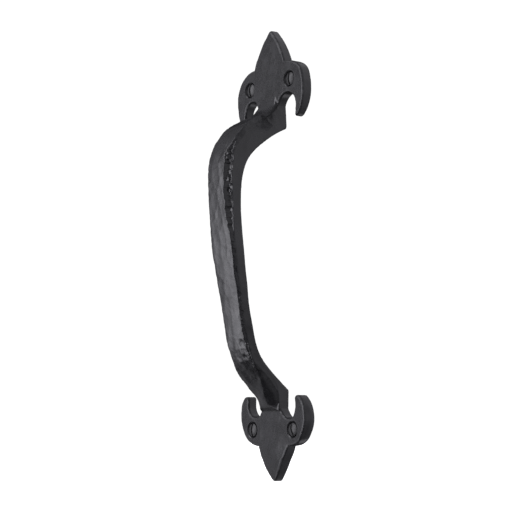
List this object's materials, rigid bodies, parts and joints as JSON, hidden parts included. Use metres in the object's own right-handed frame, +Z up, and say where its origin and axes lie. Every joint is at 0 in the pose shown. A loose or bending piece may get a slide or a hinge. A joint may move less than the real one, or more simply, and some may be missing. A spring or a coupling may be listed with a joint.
{
  "type": "bow pull handle",
  "caption": "Black cast-iron bow pull handle with fleur-de-lys end plates, fixed through its plates by slotted wood screws.",
  "frame": {"origin": "centre of the four screw positions, on the handle's back face, which lies on the door", "axes": "+Z up the handle, -Y out of the front towards the hand, +Y into the door, +X to the right as seen from the front"},
  "size_m": [0.0568, 0.0464, 0.2284],
  "materials": {
    "cast_iron_black": "satin black paint over a hammered casting",
    "screw_black": "satin black japanned"
  },
  "bodies": {
    "root": {"handle_casting": "cast_iron_black", "screw_top_left": "screw_black", "screw_top_right": "screw_black", "screw_bottom_left": "screw_black", "screw_bottom_right": "screw_black"}
  },
  "joints": []
}
